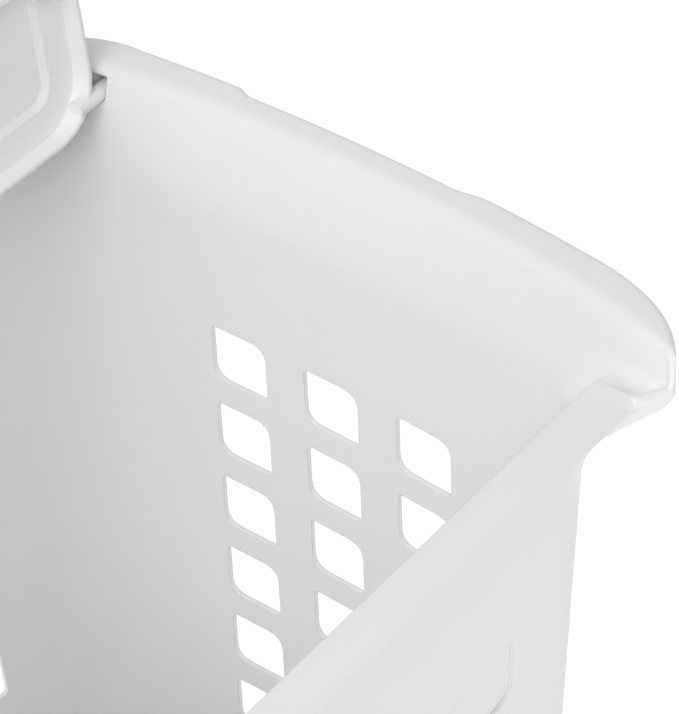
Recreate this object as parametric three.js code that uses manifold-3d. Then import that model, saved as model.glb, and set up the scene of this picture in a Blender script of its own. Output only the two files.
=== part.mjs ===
// Laundry hamper with a hinged lid, in millimetres, +Z up, front towards -Y.
// The origin is the middle of the flat underside. Two plastic mouldings: an open tub with a flanged
// rim, and a tray-shaped lid that swings on two pins moulded on its sides. The lid is built closed
// and then turned open about its pins, until it leans on the rim behind it.
import * as THREE from 'three';
import { mergeVertices } from 'three/addons/utils/BufferGeometryUtils.js';
import Module from 'manifold-3d';

// Tub: inner faces, measured level with the rim
const RIM_HEIGHT = 660;
const HALF_WIDTH = 237.5;
const HALF_DEPTH = 148;
const WALL = 2.2;
const FLOOR = 3;
const DRAFT = 0.035; // how far a wall leans in, per millimetre down
const CORNER_RADIUS = 42; // upright corners of the tub, low down
const CORNER_EASE = 8; // how much tighter they are at the rim
const CORNER_EASE_DEPTH = 250; // below the rim, where they reach the full radius
const FLOOR_FILLET = 14;

// Side walls bulge: each is x = HALF_WIDTH + bulge - curve * y * y
const RIM_BULGE = 11.5;
const RIM_CURVE = 0.00056;
const WALL_CURVE = 0.0003;

// Flared top of the upright corners. Each front one grows into a hollow beak beside the front land.
const FLARE_DEPTH = 46; // below the rim, where the flare starts
const UPPER_RADIUS = 20; // rear corners above the flare
const BEAK_REACH = 24.5; // how far the beak passes the front wall's inner face
const BEAK_HOLLOW = 19; // width of its hollow, from the land's end to the side wall

// Rim flange along the sides and back
const FLANGE_HALF = HALF_WIDTH + 29.4; // outer edge from the middle plane, if the grips weren't set in
const FLANGE_CURVE = 0.00046;
const FLANGE_BACK = HALF_DEPTH + 24; // outer edge at the back
const FLANGE_RADIUS = 58;
const NOTCH_RADIUS = 3; // inner corner beside the lid's tail
const FLANGE_EDGE = 2.5; // rounding of the outer edge
const SKIRT = 9; // depth of the turned-down edge
const RIM_LIP = 0.5; // how far the flange's inner edge stands proud of the wall
const FLANGE_SINK = 0.6; // how far the wall's top edge stops below the flange's face
const GRIP_FRONT = -55; // hand grip: the flange is set in between these two
const GRIP_BACK = 60.5;
const GRIP_INSET = 3;

// Front land: the lower, rounded flange that the closed lid rests on
const LAND_DROP = 15;
const LAND_WIDTH = 18.5;
const LAND_ROLL = 4;
const NOTCH_PAST_LAND = 8; // how far the lowered front runs into each beak

// Vents in the side and back walls, and the leaf pattern pressed into the front
const VENT_WIDTH = 29;
const VENT_HEIGHT = 30;
const VENT_PITCH = 50;
const VENT_ROW = 43.75;
const VENT_TOP = 124; // first row below the rim
const VENT_ROWS = 10;
const LEAF_ROUND = 0.27; // radius of a leaf's wide corners, as a share of its width
const SIDE_COLUMNS = 3;
const BACK_COLUMNS = 6;
const BACK_PITCH = 52.5;
const LEAF_WIDTH = 41;
const LEAF_HEIGHT = 33;
const LEAF_PITCH = 71.75;
const LEAF_TOP = 130.5;
const LEAF_COLUMNS = 5;
const LEAF_DEPTH = 1.1;

// Lid, in its closed place
const LID_GAP = 6.6; // to the rim at each side
const LID_FRONT = HALF_DEPTH + 17;
const LID_TAIL = 10; // length behind the pins
const LID_REAR_RADIUS = 27;
const LID_FRONT_RADIUS = 16;
const LID_BORDER = 13; // width of the lower border
const LID_STEP = 3; // height of the middle panel above the border
const LID_SLOPE = 3; // width of the slope between them
const LID_WALL = 2.2;
const LID_SEAT_GAP = 0.4; // above the front land
const RIB_HEIGHT = 5;
const RIB_THICKNESS = 1.8;

// Hinge
const HINGE_Y = HALF_DEPTH - 26.5;
const HINGE_DROP = 12; // below the rim
const PIN_RADIUS = 3.8;
const PIN_CLEARANCE = 0.35;
const PIN_PAST_WALL = 4;
const PIN_ROOT = 10; // how far inside the lid's straight edge a pin starts, as the edge curves in there
const BOSS_WALL = 2;
const BOSS_HALF = 8;
const OPEN_ANGLE = 100;
const STOP_CLEARANCE = 0.3;

const SIDE_STEPS = 8;
const FRONT_STEPS = 3;
const CORNER_STEPS = 8;

const openAngle = THREE.MathUtils.degToRad(OPEN_ANGLE);
// The open lid's panel, HINGE_DROP above the pins, leans on the rear ledge's front edge.
const rearLedgeY = HINGE_Y
  + (HINGE_DROP + STOP_CLEARANCE - HINGE_DROP * Math.cos(openAngle)) / Math.sin(openAngle);

const wasm = await Module();
wasm.setup();

function solid(geometry) {
  const bare = geometry.index ? geometry.clone() : mergeVertices(geometry);
  bare.deleteAttribute('normal');
  bare.deleteAttribute('uv');
  const merged = mergeVertices(bare, 1e-4);
  return new wasm.Manifold(new wasm.Mesh({
    numProp: 3,
    vertProperties: new Float32Array(merged.attributes.position.array),
    triVerts: new Uint32Array(merged.index.array),
  }));
}

function placed(geometry, matrix) {
  return solid(geometry.clone().applyMatrix4(matrix));
}

function meshFrom(manifold, name, material) {
  const data = manifold.getMesh();
  const geometry = new THREE.BufferGeometry();
  geometry.setAttribute('position', new THREE.BufferAttribute(new Float32Array(data.vertProperties), 3));
  geometry.setIndex(new THREE.BufferAttribute(new Uint32Array(data.triVerts), 1));
  geometry.computeVertexNormals();
  const mesh = new THREE.Mesh(geometry, material);
  mesh.name = name;
  return mesh;
}

// Joins rings of equal length into one closed skin. Each end is triangulated as an outline in x and y,
// or in the points' own u and v where they have them.
function loft(rings) {
  const count = rings[0].length;
  const points = rings.flat();
  const faces = [];
  for (let r = 0; r + 1 < rings.length; r += 1) {
    for (let i = 0; i < count; i += 1) {
      const a = r * count + i;
      const b = r * count + (i + 1) % count;
      faces.push(a, b, b + count, a, b + count, a + count);
    }
  }
  const last = (rings.length - 1) * count;
  const outline = (ring) => ring.map((p) => new THREE.Vector2(p.userU ?? p.x, p.userV ?? p.y));
  for (const [a, b, c] of THREE.ShapeUtils.triangulateShape(outline(rings[0]), [])) faces.push(c, b, a);
  for (const [a, b, c] of THREE.ShapeUtils.triangulateShape(outline(rings.at(-1)), [])) {
    faces.push(last + a, last + b, last + c);
  }
  const geometry = new THREE.BufferGeometry();
  const positions = new Float32Array(points.flatMap((p) => [p.x, p.y, p.z]));
  geometry.setAttribute('position', new THREE.BufferAttribute(positions, 3));
  geometry.setIndex(faces);
  return geometry;
}

// Points along a path from start to end round a corner of the given radius, evenly spaced.
function cornerPath(start, corner, end, radius, steps) {
  const path = new THREE.Path();
  const back = start.clone().sub(corner).normalize();
  const on = end.clone().sub(corner).normalize();
  const reach = Math.min(radius, start.distanceTo(corner), end.distanceTo(corner));
  const enter = corner.clone().addScaledVector(back, reach);
  const leave = corner.clone().addScaledVector(on, reach);
  const pull = 0.5523; // makes the cubic a quarter circle
  path.moveTo(start.x, start.y);
  path.lineTo(enter.x, enter.y);
  path.bezierCurveTo(
    enter.x - back.x * reach * pull, enter.y - back.y * reach * pull,
    leave.x - on.x * reach * pull, leave.y - on.y * reach * pull,
    leave.x, leave.y,
  );
  path.lineTo(end.x, end.y);
  return path.getSpacedPoints(steps);
}

// A ring from its right half, which runs from the front middle to the back middle.
function mirrored(half) {
  const left = half.slice(1, -1).reverse().map((p) => new THREE.Vector3(-p.x, p.y, p.z));
  return [...half, ...left];
}

const flareAt = (depth) => Math.max(0, 1 - depth / FLARE_DEPTH);
const bulgeShare = (depth) => flareAt(depth) ** 1.5;

function sideX(y, depth) {
  const share = bulgeShare(depth);
  const curve = WALL_CURVE + (RIM_CURVE - WALL_CURVE) * share;
  return HALF_WIDTH + RIM_BULGE * share - curve * y * y - DRAFT * depth;
}

// One level of the tub wall. `out` moves it outward from the inner face.
function wallRing(depth, out, z) {
  const hy = HALF_DEPTH - DRAFT * depth + out;
  const radius = CORNER_RADIUS - CORNER_EASE * Math.max(0, 1 - depth / CORNER_EASE_DEPTH);
  const turn = hy - radius - out;
  const side = (y) => sideX(y, depth) + out;
  const square = Math.min(1, Math.max(0, flareAt(depth) * FLARE_DEPTH / (FLARE_DEPTH - LAND_DROP)));
  const beak = BEAK_REACH * square;
  const tip = new THREE.Vector2(side(hy + beak), -hy - beak);
  const frontStart = new THREE.Vector2(side(turn) - radius, -hy);
  const half = [];
  const push = (x, y) => half.push(new THREE.Vector3(x, y, z));
  for (let i = 0; i < FRONT_STEPS; i += 1) push(frontStart.x * i / FRONT_STEPS, -hy);

  // front corner: a round corner low down, opening into the beak near the rim
  const round = cornerPath(frontStart, new THREE.Vector2(side(turn), -hy),
    new THREE.Vector2(side(turn), -turn), radius, CORNER_STEPS);
  const end = HALF_WIDTH - BEAK_HOLLOW - out;
  const edge = [[frontStart.x, 0], [end - 2, 0], [end, 0.4], [end + 1, 0.75]];
  for (let i = 0; i < CORNER_STEPS; i += 1) {
    const k = i - edge.length;
    const y = THREE.MathUtils.lerp(tip.y, -turn, Math.max(0, k) / (CORNER_STEPS - edge.length));
    const sharp = k < 0 ? new THREE.Vector2(edge[i][0], -hy - beak * edge[i][1])
      : new THREE.Vector2(side(y), y);
    const p = round[i].clone().lerp(sharp, square);
    push(p.x, p.y);
  }
  for (let i = 0; i < SIDE_STEPS; i += 1) {
    const y = -turn + 2 * turn * i / SIDE_STEPS;
    push(side(y), y);
  }
  const rear = cornerPath(new THREE.Vector2(side(turn), turn), new THREE.Vector2(side(hy), hy),
    new THREE.Vector2(side(turn) - radius, hy),
    THREE.MathUtils.lerp(radius, UPPER_RADIUS, square) + out, CORNER_STEPS);
  rear.slice(0, -1).forEach((p) => push(p.x, p.y));
  const rearEnd = rear.at(-1).x;
  for (let i = 0; i <= FRONT_STEPS; i += 1) push(rearEnd * (1 - i / FRONT_STEPS), hy);
  return mirrored(half);
}

function tubShell() {
  const at = (depth, out) => wallRing(depth, out, RIM_HEIGHT - depth);
  const levels = [RIM_HEIGHT * 0.7, RIM_HEIGHT * 0.35, FLARE_DEPTH * 1.6, FLARE_DEPTH,
    (FLARE_DEPTH + LAND_DROP) * 0.55, LAND_DROP];
  const soft = FLOOR_FILLET * 0.3;
  const floorDepth = RIM_HEIGHT - FLOOR;
  const outer = [
    at(RIM_HEIGHT, WALL - FLOOR_FILLET * 0.9), at(RIM_HEIGHT - soft, WALL - FLOOR_FILLET * 0.25),
    at(RIM_HEIGHT - FLOOR_FILLET, WALL), ...levels.map((d) => at(d, WALL)), at(FLANGE_SINK, WALL),
  ];
  const inner = [
    at(floorDepth, -FLOOR_FILLET * 0.9), at(floorDepth - soft, -FLOOR_FILLET * 0.25),
    at(floorDepth - FLOOR_FILLET, 0), ...levels.map((d) => at(d, 0)), at(FLANGE_SINK, 0),
    wallRing(FLANGE_SINK, 0, RIM_HEIGHT + WALL),
  ];
  return solid(loft(outer)).subtract(solid(loft(inner))).subtract(frontNotch());
}

// Lowers the front wall, and the lip of each beak, to the level of the front land.
function frontNotch() {
  const width = 2 * (HALF_WIDTH - BEAK_HOLLOW + NOTCH_PAST_LAND);
  const box = new THREE.BoxGeometry(width, CORNER_RADIUS * 2, LAND_DROP * 2);
  const floor = RIM_HEIGHT - LAND_DROP - FLANGE_SINK;
  return solid(box.translate(0, -HALF_DEPTH - CORNER_RADIUS + WALL, floor + LAND_DROP));
}

// Flange: pairs of inner and outer edge points, from the right beak round the back to the left beak.
function flangeEdges() {
  const tipY = -(HALF_DEPTH + BEAK_REACH);
  const straight = FLANGE_BACK - FLANGE_RADIUS;
  const outerX = (y) => FLANGE_HALF - FLANGE_CURVE * y * y;
  const inGrip = (y) => y > GRIP_FRONT && y < GRIP_BACK;
  const innerX = (y) => sideX(y, 0) - RIM_LIP;
  const start = tipY + 64;
  const beakEdge = new THREE.QuadraticBezierCurve(
    new THREE.Vector2(sideX(tipY, 0) + WALL, tipY - WALL),
    new THREE.Vector2(outerX(start) - 2, tipY + 17),
    new THREE.Vector2(outerX(start), start),
  );
  const pairs = [];
  const along = CORNER_STEPS;
  for (let i = 0; i < along; i += 1) {
    const outer = beakEdge.getPoint(i / along);
    const y = THREE.MathUtils.lerp(tipY, start, i / along);
    pairs.push([new THREE.Vector2(innerX(y), y), outer]);
  }
  const stops = [start, (start + GRIP_FRONT) / 2, GRIP_FRONT - 4, GRIP_FRONT + 4, GRIP_FRONT / 2, 0,
    GRIP_BACK / 2, GRIP_BACK - 1.5, GRIP_BACK + 1.5, (GRIP_BACK + straight) / 2];
  for (const y of stops) {
    const inset = inGrip(y) ? GRIP_INSET : 0;
    pairs.push([new THREE.Vector2(innerX(y), y), new THREE.Vector2(outerX(y) - inset, y)]);
  }
  const notchX = innerX(rearLedgeY);
  const inner = cornerPath(new THREE.Vector2(notchX, rearLedgeY - NOTCH_RADIUS),
    new THREE.Vector2(notchX, rearLedgeY), new THREE.Vector2(notchX - NOTCH_RADIUS, rearLedgeY),
    NOTCH_RADIUS, CORNER_STEPS);
  const outer = cornerPath(new THREE.Vector2(outerX(straight), straight),
    new THREE.Vector2(outerX(straight), FLANGE_BACK),
    new THREE.Vector2(outerX(straight) - FLANGE_RADIUS, FLANGE_BACK), FLANGE_RADIUS, CORNER_STEPS);
  inner.forEach((p, i) => pairs.push([p, outer[i]]));
  const last = outer.at(-1).x / 2;
  pairs.push([new THREE.Vector2(last, rearLedgeY), new THREE.Vector2(last, FLANGE_BACK)]);
  const left = pairs.slice().reverse().map((pair) => pair.map((p) => new THREE.Vector2(-p.x, p.y)));
  return [...pairs, ...left];
}

function flange() {
  const sections = flangeEdges().map(([inner, outer]) => {
    const across = outer.clone().sub(inner);
    const width = across.length();
    across.normalize();
    const edge = Math.min(FLANGE_EDGE, width * 0.3);
    const skin = Math.min(WALL, width * 0.4);
    const profile = [
      [0, 0], [0, -WALL], [width - skin, -WALL], [width - skin, -SKIRT], [width, -SKIRT],
      [width, -edge], [width - edge * 0.3, -edge * 0.3], [width - edge, 0],
    ];
    return profile.map(([u, v]) => {
      const p = new THREE.Vector3(inner.x + across.x * u, inner.y + across.y * u, RIM_HEIGHT + v);
      return Object.assign(p, { userU: u, userV: v });
    });
  });
  return solid(loft(sections.reverse()));
}

function prism(shape, from, to, axes) {
  const geometry = new THREE.ExtrudeGeometry(shape, { depth: to - from, bevelEnabled: false, steps: 1,
    curveSegments: 2 });
  geometry.translate(0, 0, from);
  return placed(geometry, axes);
}

const AXES_YZX = new THREE.Matrix4().makeBasis(
  new THREE.Vector3(0, 1, 0), new THREE.Vector3(0, 0, 1), new THREE.Vector3(1, 0, 0));

const AXES_XZ = new THREE.Matrix4().makeBasis(
  new THREE.Vector3(1, 0, 0), new THREE.Vector3(0, 0, 1), new THREE.Vector3(0, -1, 0));

function frontLand() {
  const inner = -(HALF_DEPTH - RIM_LIP);
  const edge = -(HALF_DEPTH + LAND_WIDTH);
  const top = RIM_HEIGHT - LAND_DROP;
  const shape = new THREE.Shape();
  shape.moveTo(inner, top);
  shape.lineTo(edge + LAND_ROLL, top);
  shape.quadraticCurveTo(edge, top, edge, top - LAND_ROLL);
  shape.lineTo(edge + WALL, top - LAND_ROLL);
  shape.lineTo(edge + LAND_ROLL, top - WALL);
  shape.lineTo(inner, top - WALL);
  const end = HALF_WIDTH - BEAK_HOLLOW;
  return prism(shape, -end, end, AXES_YZX);
}

// Rounded square whose two opposite corners are nearly sharp and the other two are wide curves.
function leafShape(width, height) {
  const w = width / 2;
  const h = height / 2;
  const round = width * LEAF_ROUND;
  const shape = new THREE.Shape();
  shape.moveTo(-w, -h);
  shape.lineTo(w - round, -h);
  shape.quadraticCurveTo(w, -h, w, -h + round);
  shape.lineTo(w, h);
  shape.lineTo(-w + round, h);
  shape.quadraticCurveTo(-w, h, -w, h - round);
  return shape;
}

function grid(columns, rows, pitch, rowPitch, top, make) {
  const made = [];
  for (let c = 0; c < columns; c += 1) {
    for (let r = 0; r < rows; r += 1) {
      made.push(make((c - (columns - 1) / 2) * pitch, top + r * rowPitch));
    }
  }
  return made;
}

// `outward` is the way a wall faces and `along` runs to the right as seen from outside.
function facing(along, outward, place) {
  const up = new THREE.Vector3(0, 0, 1);
  return new THREE.Matrix4().makeBasis(along, up, outward).setPosition(place);
}

function ventCutters() {
  const leaf = leafShape(VENT_WIDTH, VENT_HEIGHT);
  const cut = WALL * 4;
  const cutters = [];
  for (const side of [1, -1]) {
    cutters.push(...grid(SIDE_COLUMNS, VENT_ROWS, VENT_PITCH, VENT_ROW, VENT_TOP, (y, depth) => prism(
      leaf, -cut, cut, facing(new THREE.Vector3(0, side, 0), new THREE.Vector3(side, 0, 0),
        new THREE.Vector3(side * sideX(y, depth), y, RIM_HEIGHT - depth)))));
  }
  cutters.push(...grid(BACK_COLUMNS, VENT_ROWS, BACK_PITCH, VENT_ROW, VENT_TOP, (x, depth) => prism(
    leaf, -cut, cut, facing(new THREE.Vector3(-1, 0, 0), new THREE.Vector3(0, 1, 0),
      new THREE.Vector3(x, HALF_DEPTH - DRAFT * depth, RIM_HEIGHT - depth)))));
  return cutters;
}

function leafCutters() {
  const leaf = leafShape(LEAF_WIDTH, LEAF_HEIGHT);
  const lean = Math.atan(DRAFT);
  return grid(LEAF_COLUMNS, VENT_ROWS, LEAF_PITCH, VENT_ROW, LEAF_TOP, (x, depth) => {
    const matrix = new THREE.Matrix4().makeRotationX(Math.PI / 2 - lean);
    matrix.setPosition(x, -(HALF_DEPTH + WALL - DRAFT * depth), RIM_HEIGHT - depth);
    return prism(leaf, -LEAF_DEPTH, WALL, matrix);
  });
}

// Block outside each side wall, under the flange, that closes the outer end of the pin's slot.
function hingeBosses() {
  const front = HINGE_Y - BOSS_HALF;
  const low = HINGE_DROP + BOSS_HALF;
  const far = sideX(HINGE_Y, 0) + WALL + PIN_PAST_WALL + BOSS_WALL;
  return [1, -1].map((side) => {
    const near = [WALL * 0.7, low / 2, low].map((d) => [side * (sideX(front, d) + WALL / 2), RIM_HEIGHT - d]);
    const outline = [...near, [side * far, RIM_HEIGHT - low], [side * far, RIM_HEIGHT - WALL * 0.7]];
    const shape = new THREE.Shape(outline.map(([x, z]) => new THREE.Vector2(x, z)));
    return prism(shape, -BOSS_HALF, BOSS_HALF, AXES_XZ.clone().setPosition(0, HINGE_Y, 0));
  });
}

// Upright slot in each side wall that a lid pin springs into; its round foot is the bearing.
function hingeSlots() {
  const radius = PIN_RADIUS + PIN_CLEARANCE;
  const z = RIM_HEIGHT - HINGE_DROP;
  const shape = new THREE.Shape();
  shape.absarc(HINGE_Y, z, radius, Math.PI, 2 * Math.PI);
  shape.lineTo(HINGE_Y + radius, RIM_HEIGHT - WALL * 1.5);
  shape.lineTo(HINGE_Y - radius, RIM_HEIGHT - WALL * 1.5);
  const near = HALF_WIDTH - WALL * 3;
  const far = sideX(HINGE_Y, 0) + WALL + PIN_PAST_WALL;
  return [prism(shape, near, far, AXES_YZX), prism(shape, -far, -near, AXES_YZX)];
}

function makeTub() {
  const material = new THREE.MeshStandardMaterial({ color: 0xf1f1ef, roughness: 0.42, metalness: 0 });
  let tub = tubShell().add(flange()).add(frontLand());
  for (const boss of hingeBosses()) tub = tub.add(boss);
  for (const cutter of [...ventCutters(), ...leafCutters(), ...hingeSlots()]) tub = tub.subtract(cutter);
  return meshFrom(tub, 'tub', material);
}

// One outline of the lid, `inset` from its edge, at height z.
function lidRing(inset, z) {
  const side = (y) => sideX(y, 0) - LID_GAP - inset;
  const front = -LID_FRONT + inset;
  const rear = HINGE_Y + LID_TAIL - inset;
  const frontRadius = Math.max(LID_FRONT_RADIUS - inset, 3);
  const rearRadius = Math.max(LID_REAR_RADIUS - inset, 3);
  const half = [new THREE.Vector2(0, front)];
  const turnFront = front + LID_FRONT_RADIUS;
  const turnRear = rear - LID_REAR_RADIUS;
  half.push(...cornerPath(new THREE.Vector2(side(turnFront) - LID_FRONT_RADIUS, front),
    new THREE.Vector2(side(turnFront), front), new THREE.Vector2(side(turnFront), turnFront),
    frontRadius, CORNER_STEPS / 2));
  for (let i = 1; i < SIDE_STEPS; i += 1) {
    const y = THREE.MathUtils.lerp(turnFront, turnRear, i / SIDE_STEPS);
    half.push(new THREE.Vector2(side(y), y));
  }
  half.push(...cornerPath(new THREE.Vector2(side(turnRear), turnRear),
    new THREE.Vector2(side(turnRear), rear), new THREE.Vector2(side(turnRear) - LID_REAR_RADIUS, rear),
    rearRadius, CORNER_STEPS / 2));
  half.push(new THREE.Vector2(0, rear));
  return mirrored(half.map((p) => new THREE.Vector3(p.x, p.y, z)));
}

function lidTray() {
  const bottom = RIM_HEIGHT - LAND_DROP + LID_SEAT_GAP;
  const border = RIM_HEIGHT - LID_STEP;
  const outer = [
    lidRing(0, bottom), lidRing(0, border - LID_WALL), lidRing(LID_WALL * 0.6, border),
    lidRing(LID_BORDER, border), lidRing(LID_BORDER + LID_SLOPE, RIM_HEIGHT),
  ];
  const inner = [
    lidRing(LID_WALL, bottom - LID_WALL), lidRing(LID_WALL, border - LID_WALL),
    lidRing(LID_BORDER + LID_WALL, border - LID_WALL),
    lidRing(LID_BORDER + LID_SLOPE + LID_WALL, RIM_HEIGHT - LID_WALL),
  ];
  return solid(loft(outer)).subtract(solid(loft(inner)));
}

function lidRibs() {
  const inset = LID_BORDER + LID_SLOPE;
  const length = LID_FRONT + HINGE_Y + LID_TAIL - 2 * inset;
  const middle = (HINGE_Y + LID_TAIL - LID_FRONT) / 2;
  const z = RIM_HEIGHT - LID_WALL / 2 - RIB_HEIGHT / 2;
  const height = RIB_HEIGHT + LID_WALL;
  const ribs = [];
  for (const share of [-0.5, 0, 0.5]) {
    const box = new THREE.BoxGeometry(RIB_THICKNESS, length, height);
    ribs.push(solid(box.translate(share * HALF_WIDTH, middle, z - LID_WALL / 2)));
  }
  for (const share of [-0.25, 0.25]) {
    const width = 2 * (sideX(0, 0) - LID_GAP - inset - LID_WALL);
    const box = new THREE.BoxGeometry(width, RIB_THICKNESS, height);
    ribs.push(solid(box.translate(0, middle + share * length, z - LID_WALL / 2)));
  }
  return ribs;
}

function lidPins() {
  const z = RIM_HEIGHT - HINGE_DROP;
  const start = sideX(HINGE_Y, 0) - LID_GAP - PIN_ROOT;
  const end = sideX(HINGE_Y, 0) + WALL + PIN_PAST_WALL - 1;
  return [1, -1].map((side) => {
    const pin = new THREE.CylinderGeometry(PIN_RADIUS, PIN_RADIUS, end - start, 20);
    pin.rotateZ(Math.PI / 2).translate(side * (start + end) / 2, HINGE_Y, z);
    return solid(pin);
  });
}

function makeLid() {
  const material = new THREE.MeshStandardMaterial({ color: 0xf1f1ef, roughness: 0.42, metalness: 0 });
  let lid = lidTray();
  for (const piece of [...lidRibs(), ...lidPins()]) lid = lid.add(piece);
  const mesh = meshFrom(lid, 'lid', material);
  mesh.position.set(0, -HINGE_Y, -(RIM_HEIGHT - HINGE_DROP));
  const swing = new THREE.Group();
  swing.add(mesh);
  swing.position.set(0, HINGE_Y, RIM_HEIGHT - HINGE_DROP);
  swing.rotation.x = -openAngle;
  return swing;
}

const hamper = new THREE.Group();
hamper.add(makeTub(), makeLid());
export default hamper;
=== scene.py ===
import math
import bpy
import numpy as np
from mathutils import Matrix, Quaternion, Vector


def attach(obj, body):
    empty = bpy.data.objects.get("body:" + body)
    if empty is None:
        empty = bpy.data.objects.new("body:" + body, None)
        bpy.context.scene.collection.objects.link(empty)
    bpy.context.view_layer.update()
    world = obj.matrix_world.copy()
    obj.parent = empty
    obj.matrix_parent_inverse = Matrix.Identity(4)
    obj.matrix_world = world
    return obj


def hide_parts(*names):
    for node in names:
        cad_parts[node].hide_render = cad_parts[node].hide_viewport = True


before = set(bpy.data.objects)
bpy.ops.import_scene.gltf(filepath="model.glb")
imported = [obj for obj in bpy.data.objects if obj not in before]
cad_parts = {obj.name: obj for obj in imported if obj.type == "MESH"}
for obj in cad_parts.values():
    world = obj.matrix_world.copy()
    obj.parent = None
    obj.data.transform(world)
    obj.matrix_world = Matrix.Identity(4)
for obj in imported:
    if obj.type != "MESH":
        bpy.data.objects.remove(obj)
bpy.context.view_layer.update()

MM = 0.001
# Tub, in millimetres, as in the CAD part. A depth is measured down from the rim.
RIM, HALF_W, HALF_D, WALL, FLOOR = 660.0, 237.5, 148.0, 2.2, 3.0
DRAFT, FILLET = 0.035, 14.0
CORNER, CORNER_EASE, EASE_DEPTH = 42.0, 8.0, 250.0  # the corners are tighter near the rim
RIM_BULGE, RIM_CURVE, WALL_CURVE = 11.5, 0.00056, 0.0003  # how the side walls bow outward
FLARE, UPPER_R = 46.0, 20.0  # depth where the corners start to flare, and the rear ones above it
LAND_DROP, LAND_EDGE, LAND_END, LAND_ROLL = 15.0, HALF_D + 18.5, HALF_W - 19.0, 4.0
FLANGE_HALF, FLANGE_BACK, FLANGE_CURVE = HALF_W + 29.4, HALF_D + 24.0, 0.00046
FLANGE_R, FLANGE_ROLL, SKIRT = 58.0, 2.6, 9.0
LEDGE_Y, NOTCH_R = 136.1, 3.0  # front edge of the rear ledge, where the open lid leans
COVE_DEPTH, COVE_POWER = 66.0, 1.9  # the hollow curve below each beak
GRIP_FRONT, GRIP_BACK, GRIP_INSET = -55.0, 60.5, 3.0
# Vents, and the leaves pressed into the front
VENT_ROWS, VENT_ROW, VENT_TOP, VENT_W, VENT_H = 10, 43.75, 124.0, 29.0, 30.0
SIDE_COLUMNS, SIDE_PITCH, BACK_COLUMNS, BACK_PITCH = 3, 50.0, 6, 52.5
LEAF_COLUMNS, LEAF_PITCH, LEAF_TOP, LEAF_W, LEAF_H, LEAF_DEPTH = 5, 71.75, 130.5, 41.0, 33.0, 1.1
CUT = 9.0  # how far a vent's cutter reaches to each side of the wall's inner face
# Lid and hinge
LID_GAP, LID_FRONT, LID_TAIL, SEAT_GAP = 6.6, HALF_D + 17.0, 10.0, 0.4
LID_REAR_R, LID_FRONT_R, LID_BORDER, LID_STEP, LID_SLOPE = 27.0, 16.0, 13.0, 3.0, 3.0
LID_EDGE = 2.4  # rounding of the lid's outer edge
RIB_H, RIB_HALF = 5.0, 0.9
HINGE_Y, HINGE_DROP, OPEN = HALF_D - 26.5, 12.0, 100.0
PIN_R, PIN_CLEARANCE, PIN_ROOT, PIN_PAST_WALL = 3.8, 0.35, 10.0, 4.0
BOSS_HALF, BOSS_WALL, ROOF = 8.0, 2.0, 1.5
# Light and camera, in metres
WORLD_LIGHT, FLOOR_GLOW, FLOOR_TONE, FLOOR_HALF = 0.46, 0.95, 0.15, 8.0
KEY_PLACE, KEY_TARGET, KEY_SIZE, KEY_POWER = (-2.0, -0.45, 3.1), (0, 0, 0.5), 3.0, 59
CAMERA_PLACE, CAMERA_TURN, LENS = (-0.51255, -0.66215, 1.4708), (2.09714, -1.04026, 0.39331), 162.75

# Stations round the right half of the tub, from the front middle to the back middle
FRONT_N, SIDE_N, REAR_N, BACK_N = 26, 64, 30, 22
SEGMENTS = (8, 12, 14, 8, 20)  # of the front corner: land, hollow's side, lip, tip, side
ANGLES = (0, 13, 27, 42, 47, 90)
CORNER_N = sum(SEGMENTS)
GRID = 3.0


def side_x(y, depth):
    """Inner face of the right side wall."""
    share = max(0.0, 1 - depth / FLARE) ** 1.5
    curve = WALL_CURVE + (RIM_CURVE - WALL_CURVE) * share
    return HALF_W + RIM_BULGE * share - curve * y * y - DRAFT * depth


def smoothstep(a, b, v):
    t = np.clip((v - a) / (b - a), 0, 1)
    return t * t * (3 - 2 * t)


def spread(keys):
    """Values between key values, one group per corner segment."""
    parts = [np.linspace(keys[i], keys[i + 1], n, endpoint=False) for i, n in enumerate(SEGMENTS)]
    return np.concatenate(parts)


def soften(path, passes):
    path = path.copy()
    for _ in range(passes):
        path[1:-1] = (path[:-2] + 2 * path[1:-1] + path[2:]) / 4
    return path


def normals(path):
    """Unit normals, to the right of the way along the path."""
    t = np.gradient(path, axis=0)
    t /= np.maximum(np.linalg.norm(t, axis=1), 1e-9)[:, None]
    return np.stack([t[:, 1], -t[:, 0]], 1)


def resample(path, count):
    """Evenly spaced points along a path."""
    path = np.array(path)
    s = np.concatenate([[0], np.cumsum(np.linalg.norm(np.diff(path, axis=0), axis=1))])
    at = np.linspace(0, s[-1], count)
    return np.stack([np.interp(at, s, path[:, 0]), np.interp(at, s, path[:, 1])], 1)


def arc(cx, cy, r, a0, a1, n):
    a = np.radians(np.linspace(a0, a1, n))
    return np.stack([cx + r * np.cos(a), cy + r * np.sin(a)], 1)


def beak_path(depth, cx, hy, turn):
    """Front corner at the rim: the land, its end, the beak's lip and tip, then the side wall."""
    keys = np.array([(cx, -hy), (LAND_END, -hy), (217.6, -hy - 17), (229.0, -hy - 25.7),
                     (232.6, -hy - 21.5), (side_x(turn, depth), -turn)])
    path = np.stack([spread(keys[:, 0]), spread(keys[:, 1])], 1)
    n = SEGMENTS[-1]
    y = np.linspace(-hy - 19.5, -turn, n, endpoint=False)
    path[-n:] = np.stack([side_x(y, depth), y], 1)
    return soften(path, 3)


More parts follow.
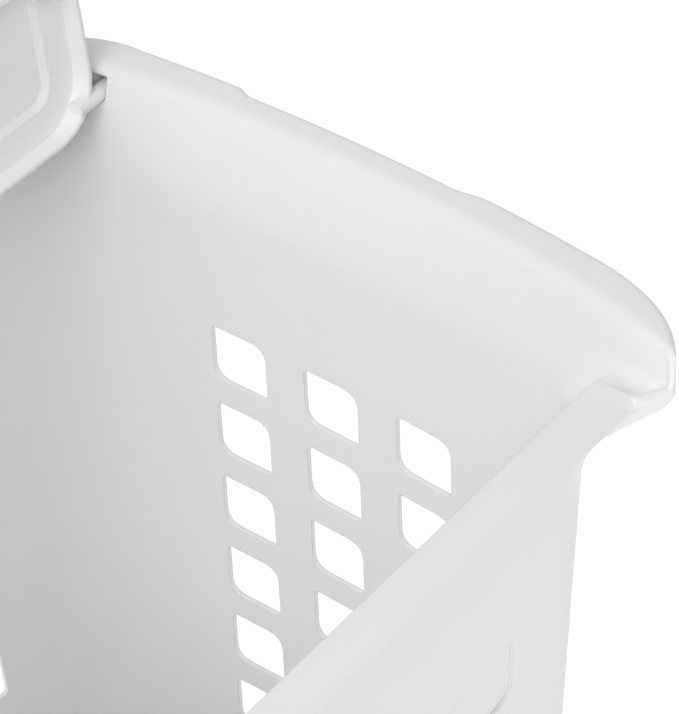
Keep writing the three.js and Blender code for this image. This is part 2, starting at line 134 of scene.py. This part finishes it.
def half_ring(depth, out=0.0):
    """Right half of the wall's outline at a depth, moved outward from the inner face."""
    hy = HALF_D - DRAFT * depth
    radius = CORNER - CORNER_EASE * max(0.0, 1 - depth / EASE_DEPTH)
    turn = hy - radius
    square = float(np.clip((FLARE - depth) / (FLARE - LAND_DROP), 0, 1))
    cx = side_x(turn, depth) - radius
    u = np.linspace(0, 1, FRONT_N, endpoint=False)
    front = np.stack([cx * u, np.full(FRONT_N, -hy - out)], 1)
    a = np.radians(spread(ANGLES))
    rounded = np.stack([cx + (radius + out) * np.sin(a), -turn - (radius + out) * np.cos(a)], 1)
    sharp = beak_path(depth, cx, hy, turn)
    sharp = sharp + normals(sharp) * out
    corner = rounded * (1 - square) + sharp * square
    y = np.linspace(-turn, turn, SIDE_N, endpoint=False)
    side = np.stack([side_x(y, depth) + out, y], 1)
    r = radius + (UPPER_R - radius) * square
    ys = np.linspace(turn, hy - r, 6)
    start = np.stack([side_x(ys, depth) + out, ys], 1)
    bend = arc(side_x(hy - r, depth) - r, hy - r, r + out, 0, 90, 16)
    rear = resample(np.concatenate([start, bend, [(cx, hy + out)]]), REAR_N + 1)[:-1]
    back = np.stack([cx * (1 - np.linspace(0, 1, BACK_N + 1)), np.full(BACK_N + 1, hy + out)], 1)
    return np.concatenate([front, corner, side, rear, back])


DEPTHS = np.arange(0, RIM + GRID, GRID)
INNER = np.array([half_ring(d) for d in DEPTHS])
OUTER = np.array([half_ring(d, WALL) for d in DEPTHS])
COUNT = INNER.shape[1]
SIDE_START = FRONT_N + CORNER_N
LOW_RIM = 7.0  # a station whose top is deeper than this belongs to the front land
ALL = np.arange(COUNT)


def wall_at(table, depths):
    """The wall's outline with a depth of its own at each station."""
    k = np.clip(depths / GRID, 0, len(DEPTHS) - 1.001)
    i = k.astype(int)
    f = (k - i)[:, None]
    return table[i, ALL] * (1 - f) + table[i + 1, ALL] * f


def flange_x(y):
    """Outer edge of the side flange, if the grip weren't set in."""
    return FLANGE_HALF - FLANGE_CURVE * y ** 2


def rim_depths():
    """At each station: the rim's top, its lower edge, and how far the cove fills it below."""
    tip = SIDE_START - SEGMENTS[-1]
    top = np.zeros(COUNT)
    top[:FRONT_N] = LAND_DROP
    top[FRONT_N:SIDE_START] = spread((LAND_DROP, LAND_DROP, LAND_DROP, LAND_DROP + 0.5, 0, 0))
    top[tip - 4:tip] = (6, 2.5, 0.8, 0)
    top[FRONT_N:SIDE_START] = soften(top[FRONT_N:SIDE_START], 1)
    low = LAND_DROP + LAND_ROLL
    lip = np.full(COUNT, SKIRT)
    lip[:FRONT_N] = low
    lip[FRONT_N:SIDE_START] = spread((low, low, low + 0.5, low + 1, low + 1, SKIRT))
    fill = np.zeros(COUNT)
    fill[FRONT_N:SIDE_START] = spread((0, 0.7, 1, 1, 1, 0))
    return top, lip, soften(fill, 6)


def front_edge(start_x, turn):
    """Outer edge round a front corner: the land's end, the beak's tip, then a curve into the flange."""
    keys = np.array([(start_x, -LAND_EDGE), (LAND_END - 7, -LAND_EDGE), (215.5, -167.9),
                     (229.4, -174.6), (232.6, -173.9), (232.6, -173.9)])
    corner = np.stack([spread(keys[:, 0]), spread(keys[:, 1])], 1)
    t = np.linspace(0, 1, SEGMENTS[-1] + 3, endpoint=False)[3:, None]
    a, b = np.array([231.4, -174.3]), np.array([257.5, -158.0])
    c = np.array([flange_x(turn), -turn])
    corner[-SEGMENTS[-1]:] = a * (1 - t) ** 2 + 2 * b * t * (1 - t) + c * t * t
    return soften(corner, 2)


def rim_edges(top):
    """Inner and outer edges of the rim, seen from above."""
    rear = SIDE_START + SIDE_N
    back = rear + REAR_N
    inner = np.where((top > LOW_RIM)[:, None], INNER[5], INNER[0])
    turn = -inner[SIDE_START, 1]
    outer = inner.copy()
    outer[:FRONT_N, 1] = -LAND_EDGE
    outer[FRONT_N:SIDE_START] = front_edge(inner[FRONT_N, 0], turn)
    y = inner[SIDE_START:rear, 1]
    grip = smoothstep(GRIP_FRONT - 10, GRIP_FRONT + 10, y)
    grip = grip * (1 - smoothstep(GRIP_BACK - 1, GRIP_BACK + 1.5, y))
    outer[SIDE_START:rear, 0] = flange_x(y) - GRIP_INSET * grip
    straight = FLANGE_BACK - FLANGE_R
    middle = flange_x(straight) - FLANGE_R
    rim = np.concatenate([[(flange_x(turn), turn)], arc(middle, straight, FLANGE_R, 0, 90, 24),
                          [(middle - 8, FLANGE_BACK)]])
    outer[rear:back] = resample(rim, REAR_N + 1)[:-1]
    back_x = (middle - 8) * (1 - np.linspace(0, 1, BACK_N + 1))
    outer[back:] = np.stack([back_x, np.full(BACK_N + 1, FLANGE_BACK)], 1)
    nx = side_x(LEDGE_Y, 0) - 0.4
    notch = np.concatenate([[(side_x(turn, 0), turn), (nx, LEDGE_Y - 2 * NOTCH_R)],
                            arc(nx - NOTCH_R, LEDGE_Y - NOTCH_R, NOTCH_R, 0, 90, 6),
                            [(middle - 8, LEDGE_Y)]])
    inner[rear:back] = resample(notch, REAR_N + 1)[:-1]
    inner[back:] = np.stack([back_x, np.full(BACK_N + 1, LEDGE_Y)], 1)
    return inner, outer


def with_z(xy, depth):
    z = RIM - (depth if np.ndim(depth) else np.full(COUNT, float(depth)))
    return np.column_stack([xy, z])


def across(inner, outer, share):
    """Points between the rim's edges, a share of the way out."""
    return inner + (outer - inner) * np.clip(share, 0, 1)[:, None]


def outer_wall(top, lip, fill, outer):
    """From the rounded edge of the underside up to the cove below the rim."""
    rings = []
    for a in np.radians(np.linspace(0, 90, 7)):
        depth = RIM - FILLET * (1 - math.cos(a))
        rings.append(with_z(half_ring(depth, WALL - FILLET * (1 - math.sin(a))), depth))
    for d in np.linspace(RIM - FILLET - 8, COVE_DEPTH + 4, 44):
        rings.append(with_z(half_ring(d, WALL), d))
    for k in np.linspace(0, 1, 15):
        filled = COVE_DEPTH * (1 - k) + (lip + 0.05) * k
        plain = COVE_DEPTH * (1 - k) + (top + WALL + 1.0) * k
        depth = filled * fill + plain * (1 - fill)
        wall = wall_at(OUTER, depth)
        ease = (k ** COVE_POWER) * fill
        rings.append(with_z(wall + (outer - wall) * ease[:, None] * 0.995, depth))
    return rings


def rim_underside(top, lip, fill, inner, outer):
    """Out to the turned-down edge. Where the cove fills the rim, all these rings meet at the edge."""
    width = np.linalg.norm(outer - inner, axis=1)
    full = fill[:, None]
    wall = wall_at(OUTER, top + WALL)
    near = wall + (outer - wall) * full
    far = across(inner, outer, 1 - np.minimum(WALL, width * 0.45) / width)
    edge = outer + (inner - outer) * 0.004
    last = outer + (inner - outer) * 0.002
    middle = near * 0.5 + far * 0.5
    roof = top + WALL
    return [
        with_z(middle * (1 - full) + edge * full, roof * (1 - fill) + (lip + 0.03) * fill),
        with_z(far * (1 - full) + edge * full, (roof + 0.3) * (1 - fill) + (lip + 0.02) * fill),
        with_z(far * (1 - full) + last * full, lip + 0.01),
        with_z(outer, lip),
    ]


def rim_top(top, lip, inner, outer):
    """Up round the outer edge, in over the flat, and down a soft slope to the wall's inner face."""
    width = np.linalg.norm(outer - inner, axis=1)
    roll = np.minimum(soften(np.where(top > LOW_RIM, LAND_ROLL, FLANGE_ROLL), 3), width * 0.5)
    rings = []
    for a in np.radians(np.linspace(0, 90, 8)):
        edge = across(inner, outer, 1 - roll * (1 - math.cos(a)) / width)
        rings.append(with_z(edge, top + np.minimum(roll, lip - top - 0.5) * (1 - math.sin(a))))
    start, stop = 1 - roll / width, np.minimum(5.5, width * 0.34) / width
    for k in (0.25, 0.5, 0.75, 1.0):
        rings.append(with_z(across(inner, outer, start * (1 - k) + stop * k), top + 0.02 * k))
    ledge = (inner[:, 1] > LEDGE_Y - 8)[:, None]
    drop = np.where(top > LOW_RIM, 0.9, 1.7)
    rim_in = np.where(ledge, inner, wall_at(INNER, top + drop))
    for k in (0.2, 0.4, 0.6, 0.8, 1.0):
        slope = across(inner, outer, stop) * (1 - k) + rim_in * k
        rings.append(with_z(slope, top + 0.02 + (drop - 0.02) * k ** 1.4))
    under = top + WALL
    rings.append(with_z(np.where(ledge, inner, wall_at(INNER, under)), under))
    return rings


def inner_wall(under):
    """Down the inner face to the floor, from just below the rim."""
    rings = [with_z(wall_at(INNER, under + 0.3), under + 0.3)]
    for i, d in enumerate([4, 6, 9, 12, 15, 16.5, *range(18, 52, 3), 56]):
        depth = np.maximum(float(d), under + 0.4 + 0.1 * i)
        rings.append(with_z(wall_at(INNER, depth), depth))
    floor = RIM - FLOOR
    for d in np.linspace(62, floor - FILLET - 6, 44):
        rings.append(with_z(half_ring(d), d))
    for a in np.radians(np.linspace(90, 0, 7)):
        depth = floor - FILLET * (1 - math.cos(a))
        rings.append(with_z(half_ring(depth, -FILLET * (1 - math.sin(a))), depth))
    return rings


def tub_rings():
    top, lip, fill = rim_depths()
    inner, outer = rim_edges(top)
    return (outer_wall(top, lip, fill, outer) + rim_underside(top, lip, fill, inner, outer)
            + rim_top(top, lip, inner, outer) + inner_wall(top + WALL))


def full_ring(half):
    """A whole ring from its right half, by mirroring."""
    left = half[1:-1][::-1] * np.array([-1, 1, 1])
    return np.concatenate([half, left])


def skin(name, halves):
    """A closed mesh over rings, with a fan of triangles over each end."""
    rings = [full_ring(h) for h in halves]
    n = len(rings[0])
    verts = list(np.concatenate(rings))
    faces = []
    i = np.arange(n)
    j = (i + 1) % n
    for r in range(len(rings) - 1):
        a = r * n
        faces += np.stack([a + i, a + j, a + n + j, a + n + i], 1).tolist()
    for start, flip in ((0, True), ((len(rings) - 1) * n, False)):
        middle = len(verts)
        verts.append(np.mean(verts[start:start + n], axis=0))
        for k in range(n):
            a, b = start + k, start + (k + 1) % n
            faces.append((b, a, middle) if flip else (a, b, middle))
    return new_object(name, np.array(verts), faces)


def new_object(name, verts, faces):
    mesh = bpy.data.meshes.new(name)
    mesh.from_pydata((np.asarray(verts) * MM).tolist(), [], faces)
    mesh.update()
    obj = bpy.data.objects.new(name, mesh)
    bpy.context.collection.objects.link(obj)
    return obj


def leaf_outline(w, h, wide, tight, steps=7):
    """Seen from outside: wide curves at top left and bottom right, nearly sharp at the other two."""
    points = []
    corners = (((w, -h), (-1, 0), (0, 1), wide), ((w, h), (0, -1), (-1, 0), tight),
               ((-w, h), (1, 0), (0, -1), wide), ((-w, -h), (0, 1), (1, 0), tight))
    for (cx, cy), back, on, r in corners:
        for k in range(steps + 1):
            t = k / steps
            a, b = (1 - t) ** 2 * r, t * t * r
            points.append((cx + back[0] * a + on[0] * b, cy + back[1] * a + on[1] * b))
    return points


def cutter(outline, low, high, matrix):
    """Vertices and faces of an outline pushed from one height to another."""
    n = len(outline)
    verts = [matrix @ Vector((x, y, z)) for z in (low, high) for x, y in outline]
    faces = [tuple(range(n))[::-1], tuple(range(n, 2 * n))]
    faces += [(k, (k + 1) % n, n + (k + 1) % n, n + k) for k in range(n)]
    return verts, faces


def merge(name, pieces):
    verts, faces = [], []
    for v, f in pieces:
        base = len(verts)
        verts += [tuple(p) for p in v]
        faces += [tuple(base + i for i in face) for face in f]
    return new_object(name, verts, faces)


def facing(along, outward, spot):
    """Frame on a wall: x to the right seen from outside, z outward."""
    up = outward.cross(along)
    m = Matrix((along, up, outward)).transposed().to_4x4()
    m.translation = Vector(spot)
    return m


ALONG_X = Matrix(((0, 0, 1, 0), (1, 0, 0, 0), (0, 1, 0, 0), (0, 0, 0, 1)))


def columns(count, pitch):
    return [(c - (count - 1) / 2) * pitch for c in range(count)]


def vents():
    leaf = leaf_outline(VENT_W / 2, VENT_H / 2, 8.4, 3.6)
    made = []
    for row in range(VENT_ROWS):
        depth = VENT_TOP + row * VENT_ROW
        for y in columns(SIDE_COLUMNS, SIDE_PITCH):
            for s in (1, -1):
                spot = (s * side_x(y, depth), y, RIM - depth)
                frame_there = facing(Vector((0, s, 0)), Vector((s, 0, 0)), spot)
                made.append(cutter(leaf, -CUT, CUT, frame_there))
        for x in columns(BACK_COLUMNS, BACK_PITCH):
            spot = (x, HALF_D - DRAFT * depth, RIM - depth)
            made.append(cutter(leaf, -CUT, CUT, facing(Vector((-1, 0, 0)), Vector((0, 1, 0)), spot)))
    return made


def pressed_leaves():
    leaf = leaf_outline(LEAF_W / 2, LEAF_H / 2, 11.5, 4.0)
    lean = math.atan(DRAFT)
    outward = Vector((0, -math.cos(lean), -math.sin(lean)))
    made = []
    for row in range(VENT_ROWS):
        depth = LEAF_TOP + row * VENT_ROW
        for x in columns(LEAF_COLUMNS, LEAF_PITCH):
            spot = (x, -(HALF_D + WALL - DRAFT * depth), RIM - depth)
            made.append(cutter(leaf, -LEAF_DEPTH, 3, facing(Vector((1, 0, 0)), outward, spot)))
    return made


def hinge_slots():
    """Upright slots through the side walls that the lid's pins spring into."""
    r = PIN_R + PIN_CLEARANCE
    bend = arc(HINGE_Y, RIM - HINGE_DROP, r, 180, 360, 14).tolist()
    top = RIM - WALL * 1.5
    outline = bend + [(HINGE_Y + r, top), (HINGE_Y - r, top)]
    near, far = HALF_W - WALL * 2.5, side_x(HINGE_Y, 0) + WALL + PIN_PAST_WALL
    return [cutter(outline, low, high, ALONG_X) for low, high in ((near, far), (-far, -near))]


def hinge_bosses():
    """Blocks outside the side walls that close the outer ends of the pin slots."""
    made = []
    far = side_x(HINGE_Y, 0) + WALL + PIN_PAST_WALL + BOSS_WALL
    low = HINGE_DROP + BOSS_HALF
    turn = Matrix(((1, 0, 0, 0), (0, 0, -1, HINGE_Y), (0, 1, 0, 0), (0, 0, 0, 1)))
    for s in (1, -1):
        near = [(s * (side_x(HINGE_Y - BOSS_HALF, d) + WALL / 2), RIM - d) for d in (ROOF, low / 2, low)]
        outline = near + [(s * far, RIM - low), (s * far, RIM - ROOF)]
        if s < 0:
            outline = outline[::-1]
        made.append(cutter(outline, -BOSS_HALF, BOSS_HALF, turn))
    return made


def boolean(obj, other, operation):
    mod = obj.modifiers.new("cut", "BOOLEAN")
    mod.operation = operation
    mod.solver = "MANIFOLD"
    mod.object = other
    graph = bpy.context.evaluated_depsgraph_get()
    mesh = bpy.data.meshes.new_from_object(obj.evaluated_get(graph))
    obj.modifiers.clear()
    obj.data = mesh
    bpy.data.objects.remove(other)


def finish_mesh(obj, angle):
    obj.data.shade_smooth()
    obj.data.set_sharp_from_angle(angle=math.radians(angle))


def lid_ring(inset, z):
    """Right half of the closed lid's outline, some way in from its edge."""
    side = lambda y: side_x(y, 0) - LID_GAP - inset
    front, rear = -LID_FRONT + inset, HINGE_Y + LID_TAIL - inset
    rf, rr = max(LID_FRONT_R - inset, 3.0), max(LID_REAR_R - inset, 3.0)
    points = [(0, front)]
    points += arc(side(front + rf) - rf, front + rf, rf, -90, 0, 14).tolist()
    for y in np.linspace(front + rf, rear - rr, 40)[1:-1]:
        points.append((side(y), y))
    points += arc(side(rear - rr) - rr, rear - rr, rr, 0, 90, 14).tolist()
    points.append((0, rear))
    path = resample(points, 150)
    return np.column_stack([path, np.full(150, z)])


def lid_tray():
    """From the middle of the panel's underside round the skirt to the middle of its top."""
    bottom = RIM - LAND_DROP + SEAT_GAP
    border = RIM - LID_STEP
    inner = border - WALL
    panel = LID_BORDER + LID_SLOPE
    under = panel + WALL
    rings = [lid_ring(under + 40, RIM - WALL), lid_ring(under + 1, RIM - WALL),
             lid_ring(under, RIM - WALL - 0.2), lid_ring(LID_BORDER + WALL + 0.3, inner + 0.2),
             lid_ring(LID_BORDER + WALL - 0.8, inner), lid_ring(WALL + 1.4, inner),
             lid_ring(WALL + 0.4, inner - 0.4), lid_ring(WALL, inner - 1.4),
             lid_ring(WALL - 0.2, bottom + 0.5), lid_ring(WALL - 0.6, bottom), lid_ring(0.5, bottom),
             lid_ring(0.12, bottom + 0.15), lid_ring(0, bottom + 0.6), lid_ring(0, border - LID_EDGE)]
    for a in np.radians(np.linspace(10, 90, 7)):
        rings.append(lid_ring(LID_EDGE * (1 - math.cos(a)), border - LID_EDGE * (1 - math.sin(a))))
    rings += [lid_ring(LID_BORDER - 0.8, border), lid_ring(LID_BORDER + 0.4, border + 0.3),
              lid_ring(panel - 0.6, RIM - 0.3), lid_ring(panel + 0.8, RIM), lid_ring(panel + 40, RIM)]
    return skin("lid_shell", rings)


def box(x0, x1, y0, y1, z0, z1):
    outline = [(x0, y0), (x1, y0), (x1, y1), (x0, y1)]
    return cutter(outline, z0, z1, Matrix())


def cylinder(x0, x1, y, z, r):
    return cutter(arc(y, z, r, 0, 352.5, 48).tolist(), x0, x1, ALONG_X)


def beside(s, a, b):
    """Two distances from the middle plane, on side s, as a low and a high x."""
    return sorted((s * a, s * b))


def lid_details():
    """Ribs, gussets and pins, in groups whose pieces don't touch, to be joined to the tray in turn."""
    inset = LID_BORDER + LID_SLOPE
    length = LID_FRONT + HINGE_Y + LID_TAIL - 2 * inset
    middle = (HINGE_Y + LID_TAIL - LID_FRONT) / 2
    end = length / 2 - 1
    z0, z1 = RIM - WALL - RIB_H, RIM - WALL / 2
    long_ribs = [box(x - RIB_HALF, x + RIB_HALF, middle - end, middle + end, z0, z1)
                 for x in (-HALF_W / 2, 0, HALF_W / 2)]
    edge = side_x(66, 0) - LID_GAP - 1.2
    border_gussets = [box(*beside(s, edge, edge - 19), 65, 67, RIM - 11, RIM - LID_STEP - 0.6)
                      for s in (1, -1)]
    panel_gussets = [box(*beside(s, edge - 18, edge - 52), 60, 61.8, RIM - 7.5, RIM - 1.0)
                     for s in (1, -1)]
    half = side_x(0, 0) - LID_GAP - inset - WALL
    cross_ribs = [box(-half, half, y - RIB_HALF, y + RIB_HALF, z0 + 0.02, z1 - 0.02)
                  for y in (middle - length / 4, middle + length / 4)]
    wall = side_x(HINGE_Y, 0)
    reach = wall + WALL + PIN_PAST_WALL - 1
    pins = [cylinder(*beside(s, wall - LID_GAP - PIN_ROOT, reach), HINGE_Y, RIM - HINGE_DROP, PIN_R)
            for s in (1, -1)]
    return [long_ribs + border_gussets, panel_gussets + cross_ribs, pins]


def swing_open(obj):
    """Turns the closed lid about its pins to the photographed place."""
    pivot = Vector((0, HINGE_Y * MM, (RIM - HINGE_DROP) * MM))
    turn = Matrix.Rotation(math.radians(-OPEN), 4, "X")
    obj.data.transform(Matrix.Translation(pivot) @ turn @ Matrix.Translation(-pivot))


def node(tree, kind, **values):
    made = tree.nodes.new(kind)
    for key, value in values.items():
        if key in made.inputs:
            made.inputs[key].default_value = value
        else:
            setattr(made, key, value)
    return made


def plastic(name, seed):
    """White polypropylene: fine moulded grain, slow tone variation, faint scuffs, softened edges."""
    mat = bpy.data.materials.new(name)
    mat.use_nodes = True
    tree = mat.node_tree
    shader = next(n for n in tree.nodes if n.type == "BSDF_PRINCIPLED")
    link = tree.links.new
    coords = node(tree, "ShaderNodeTexCoord")
    shift = node(tree, "ShaderNodeMapping", Location=(seed, seed * 0.7, 0.0))
    link(coords.outputs["Object"], shift.inputs["Vector"])
    at = shift.outputs["Vector"]
    tone = node(tree, "ShaderNodeTexNoise", Scale=5.0, Detail=3.0)
    link(at, tone.inputs["Vector"])
    ramp = node(tree, "ShaderNodeValToRGB")
    ramp.color_ramp.elements[0].position = 0.3
    ramp.color_ramp.elements[0].color = (0.930, 0.930, 0.932, 1)
    ramp.color_ramp.elements[1].position = 0.7
    ramp.color_ramp.elements[1].color = (0.942, 0.942, 0.942, 1)
    link(tone.outputs["Fac"], ramp.inputs["Fac"])
    link(ramp.outputs["Color"], shader.inputs["Base Color"])
    scuff = node(tree, "ShaderNodeTexNoise", Scale=38.0, Detail=8.0, Roughness=0.7)
    link(at, scuff.inputs["Vector"])
    rough = node(tree, "ShaderNodeMapRange")
    rough.inputs["From Min"].default_value = 0.3
    rough.inputs["From Max"].default_value = 0.75
    rough.inputs["To Min"].default_value = 0.40
    rough.inputs["To Max"].default_value = 0.52
    link(scuff.outputs["Fac"], rough.inputs["Value"])
    link(rough.outputs["Result"], shader.inputs["Roughness"])
    grain = node(tree, "ShaderNodeTexNoise", Scale=900.0, Detail=2.0)
    link(at, grain.inputs["Vector"])
    edge = node(tree, "ShaderNodeBevel", samples=6)
    edge.inputs["Radius"].default_value = 0.0009
    bump = node(tree, "ShaderNodeBump")
    bump.inputs["Strength"].default_value = 0.08
    bump.inputs["Distance"].default_value = 0.0001
    link(grain.outputs["Fac"], bump.inputs["Height"])
    link(edge.outputs["Normal"], bump.inputs["Normal"])
    link(bump.outputs["Normal"], shader.inputs["Normal"])
    shader.inputs["IOR"].default_value = 1.49
    shader.inputs["Specular IOR Level"].default_value = 0.35
    return mat


def place(obj, body, node_name, material, angle=28):
    obj.data.materials.clear()
    obj.data.materials.append(material)
    finish_mesh(obj, angle)
    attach(obj, body)
    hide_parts(node_name)


def make_tub():
    tub = skin("tub_moulding", tub_rings())
    boolean(tub, merge("cutters", vents() + pressed_leaves()), "DIFFERENCE")
    boolean(tub, merge("bosses", hinge_bosses()), "UNION")
    boolean(tub, merge("slots", hinge_slots()), "DIFFERENCE")
    place(tub, "tub", "tub", plastic("tub_white", 0.0))


def make_lid():
    lid = lid_tray()
    for n, group in enumerate(lid_details()):
        boolean(lid, merge("detail_%d" % n, group), "UNION")
    swing_open(lid)
    lid.name = "lid_moulding"
    place(lid, "lid", "lid", plastic("lid_white", 3.1))


def make_floor():
    mesh = bpy.data.meshes.new("floor")
    h = FLOOR_HALF
    mesh.from_pydata([(-h, -h, 0), (h, -h, 0), (h, h, 0), (-h, h, 0)], [], [(0, 1, 2, 3)])
    floor = bpy.data.objects.new("floor", mesh)
    bpy.context.collection.objects.link(floor)
    mat = bpy.data.materials.new("floor_white")
    mat.use_nodes = True
    shader = next(n for n in mat.node_tree.nodes if n.type == "BSDF_PRINCIPLED")
    shader.inputs["Base Color"].default_value = (FLOOR_TONE, FLOOR_TONE, FLOOR_TONE, 1)
    shader.inputs["Roughness"].default_value = 0.9
    shader.inputs["Specular IOR Level"].default_value = 0.0
    shader.inputs["Emission Color"].default_value = (1, 1, 1, 1)
    shader.inputs["Emission Strength"].default_value = FLOOR_GLOW
    mesh.materials.append(mat)


def area(name, where, target, size, power):
    data = bpy.data.lights.new(name, "AREA")
    data.shape = "DISK"
    data.size = size
    data.energy = power
    lamp = bpy.data.objects.new(name, data)
    lamp.location = where
    lamp.rotation_euler = (Vector(target) - Vector(where)).to_track_quat("-Z", "Y").to_euler()
    bpy.context.collection.objects.link(lamp)


def make_light():
    bpy.context.scene.view_settings.view_transform = "Standard"
    world = bpy.data.worlds.new("studio")
    world.use_nodes = True
    back = next(n for n in world.node_tree.nodes if n.type == "BACKGROUND")
    back.inputs["Color"].default_value = (1, 1, 1, 1)
    back.inputs["Strength"].default_value = WORLD_LIGHT
    bpy.context.scene.world = world
    area("softbox_key", KEY_PLACE, KEY_TARGET, KEY_SIZE, KEY_POWER)


def make_camera():
    """At the photographed angle. The turn is about its own vector, by its length in radians."""
    turn = Vector(CAMERA_TURN)
    rotation = Quaternion(turn.normalized(), turn.length).to_matrix()
    right, down, view = (Vector(row) for row in rotation)
    m = Matrix((right, -down, -view)).transposed().to_4x4()
    m.translation = Vector(CAMERA_PLACE)
    data = bpy.data.cameras.new("camera")
    data.sensor_width = 36.0
    data.lens = LENS
    data.clip_end = 50.0
    camera = bpy.data.objects.new("camera", data)
    camera.matrix_world = m
    bpy.context.collection.objects.link(camera)
    bpy.context.scene.camera = camera


make_tub()
make_lid()
make_floor()
make_light()
make_camera()
